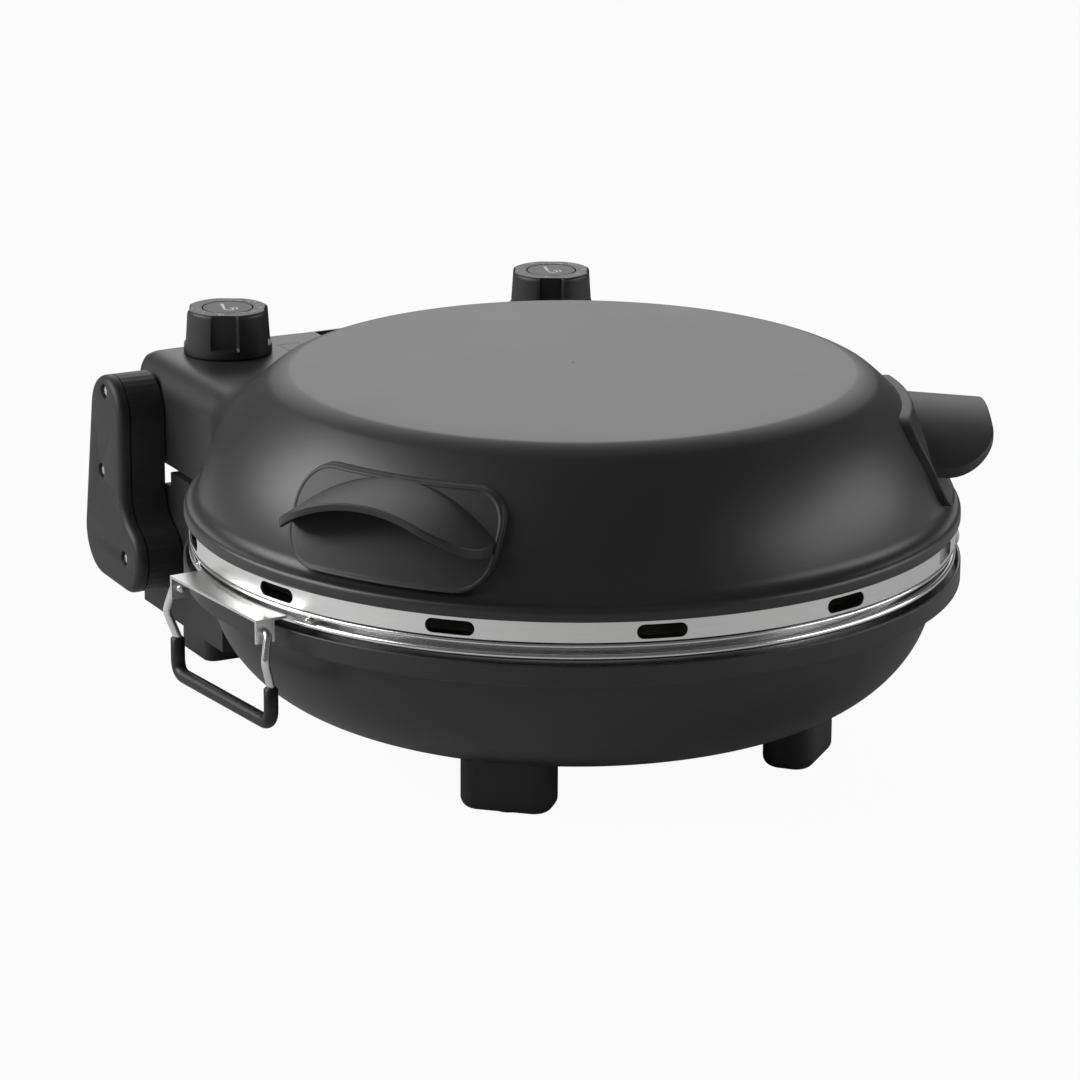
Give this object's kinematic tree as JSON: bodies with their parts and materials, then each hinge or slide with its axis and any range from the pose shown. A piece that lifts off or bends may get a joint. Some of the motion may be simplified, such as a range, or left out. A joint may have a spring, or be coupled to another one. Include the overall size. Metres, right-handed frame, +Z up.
{
  "type": "electric pizza maker",
  "caption": "Round countertop stone oven with a domed lid on folding hinge arms, turning knobs on the lid's rear housing, visor handles and wire bails on the stone carrier.",
  "frame": {"origin": "middle of the bounding box, on the surface that the feet stand on; the axis of the bowl is 21 mm in front of it", "axes": "+Z up, front (side opposite the hinge) towards -Y, +X to the right seen from the front"},
  "size_m": [0.3794, 0.394, 0.1745],
  "materials": {
    "shell_paint": "satin charcoal, fine texture",
    "black_plastic": "matte black, fine texture",
    "handle_plastic": "matte dark grey",
    "knob_plastic": "satin dark grey",
    "knob_disc_plastic": "satin black",
    "pad_rubber": "matte",
    "grip_rubber": "satin black sleeve",
    "brushed_band": "brushed round the band",
    "bright_steel": "bright",
    "bracket_steel": "bright rolled sheet",
    "bail_chrome": "satin chrome wire",
    "reflector_steel": "aluminised sheet",
    "heater_tube": "dark oxidised tube",
    "zinc_screws": "zinc plated",
    "baking_stone": "porous fired stone, unglazed",
    "ceramic_block": "glazed ceramic",
    "lamp_window": "smoked, clear"
  },
  "bodies": {
    "base": {"base_bowl": "shell_paint", "rear_housing": "black_plastic", "rear_cover": "black_plastic", "rear_cover_screws": "zinc_screws", "front_foot_left": "black_plastic", "front_foot_right": "black_plastic", "foot_pads": "pad_rubber", "foot_screws": "zinc_screws", "lower_reflector": "reflector_steel", "lower_element": "heater_tube", "lower_element_clips": "reflector_steel", "terminal_block": "ceramic_block", "cord_gland": "pad_rubber", "stone_carrier": "bright_steel", "carrier_ring": "bright_steel", "pizza_stone": "baking_stone", "bail_bracket_left": "bracket_steel", "bail_bracket_right": "bracket_steel", "bracket_rivets": "bright_steel", "lower_hinge_pins": "zinc_screws"},
    "arms": {"arm_casing_left": "black_plastic", "arm_casing_right": "black_plastic", "arm_cover_left": "black_plastic", "arm_cover_right": "black_plastic", "arm_screws": "zinc_screws", "upper_hinge_pins": "zinc_screws"},
    "lid": {"lid_shell": "shell_paint", "lid_band": "brushed_band", "lid_reflector": "reflector_steel", "upper_element": "heater_tube", "upper_element_clips": "reflector_steel", "control_housing": "shell_paint", "housing_cover": "black_plastic", "housing_screws": "zinc_screws", "thermostat_left": "ceramic_block", "thermostat_right": "ceramic_block", "thermostat_nuts": "zinc_screws", "indicator_lens": "lamp_window", "indicator_lamps": "lamp_window", "handle_left": "handle_plastic", "handle_right": "handle_plastic", "handle_screws": "zinc_screws"},
    "knob_turn_left": {"knob_left": "knob_plastic", "knob_disc_left": "knob_disc_plastic", "knob_shaft_left": "zinc_screws"},
    "knob_turn_right": {"knob_right": "knob_plastic", "knob_disc_right": "knob_disc_plastic", "knob_shaft_right": "zinc_screws"},
    "bail_swing_left": {"bail_wire_left": "bail_chrome", "bail_grip_left": "grip_rubber"},
    "bail_swing_right": {"bail_wire_right": "bail_chrome", "bail_grip_right": "grip_rubber"}
  },
  "joints": [
    {"name": "arms_fold", "type": "hinge", "parent": "base", "child": "arms", "pos_m": [0, 0.148, 0.057], "axis": [1, 0, 0], "range_deg": [-76, 0]},
    {"name": "lid_tilt", "type": "hinge", "parent": "arms", "child": "lid", "pos_m": [0, 0.169, 0.123], "axis": [1, 0, 0], "range_deg": [-104, 0]},
    {"name": "knob_left_turn", "type": "hinge", "parent": "lid", "child": "knob_turn_left", "pos_m": [-0.0865, 0.167, 0.157], "axis": [0, 0, -1], "range_deg": [0, 270]},
    {"name": "knob_right_turn", "type": "hinge", "parent": "lid", "child": "knob_turn_right", "pos_m": [0.0865, 0.167, 0.157], "axis": [0, 0, -1], "range_deg": [0, 270]},
    {"name": "bail_left_swing", "type": "hinge", "parent": "base", "child": "bail_swing_left", "pos_m": [-0.18081, -0.03682, 0.088], "axis": [-0.0872, 0.9962, 0], "range_deg": [-10, 120]},
    {"name": "bail_right_swing", "type": "hinge", "parent": "base", "child": "bail_swing_right", "pos_m": [0.18081, -0.00518, 0.088], "axis": [0.0872, -0.9962, 0], "range_deg": [-10, 120]}
  ]
}
